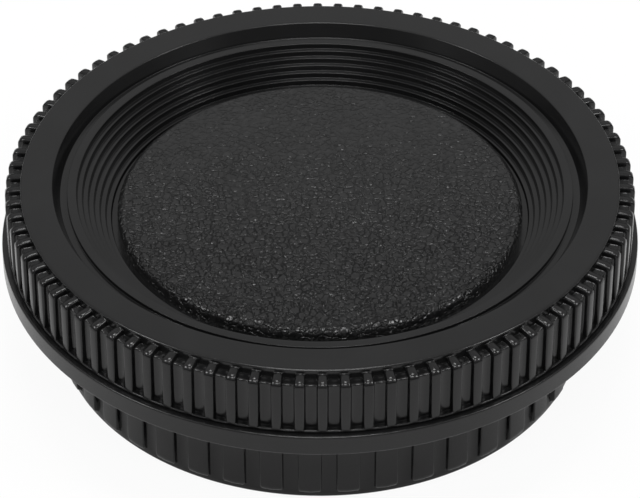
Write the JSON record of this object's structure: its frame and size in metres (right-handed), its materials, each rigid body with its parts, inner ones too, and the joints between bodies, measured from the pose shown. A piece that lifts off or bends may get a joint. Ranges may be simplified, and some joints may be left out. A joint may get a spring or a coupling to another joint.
{
  "type": "camera body cap with rear lens cap",
  "caption": "Knurled round camera body cap with a leather-grained centre, locked by its bayonet on a rear lens cap with finger pads.",
  "frame": {"origin": "centre of the rear cap's closed end, which the pair stands on", "axes": "+Z along the caps' common axis, up to the body cap's rim; -Y is the front"},
  "size_m": [0.0622, 0.0622, 0.0183],
  "materials": {
    "rear_cap_plastic": "black moulded plastic, semi-gloss",
    "body_cap_plastic": "black moulded plastic, satin rim, leather-grained centre"
  },
  "bodies": {
    "rear_cap": {"rear_cap": "rear_cap_plastic"},
    "body_cap": {"body_cap": "body_cap_plastic"}
  },
  "joints": [
    {"name": "cap_twist", "type": "hinge", "parent": "rear_cap", "child": "body_cap", "pos_m": [0, 0, 0.01215], "axis": [0, 0, 1], "range_deg": [0, 60]}
  ]
}
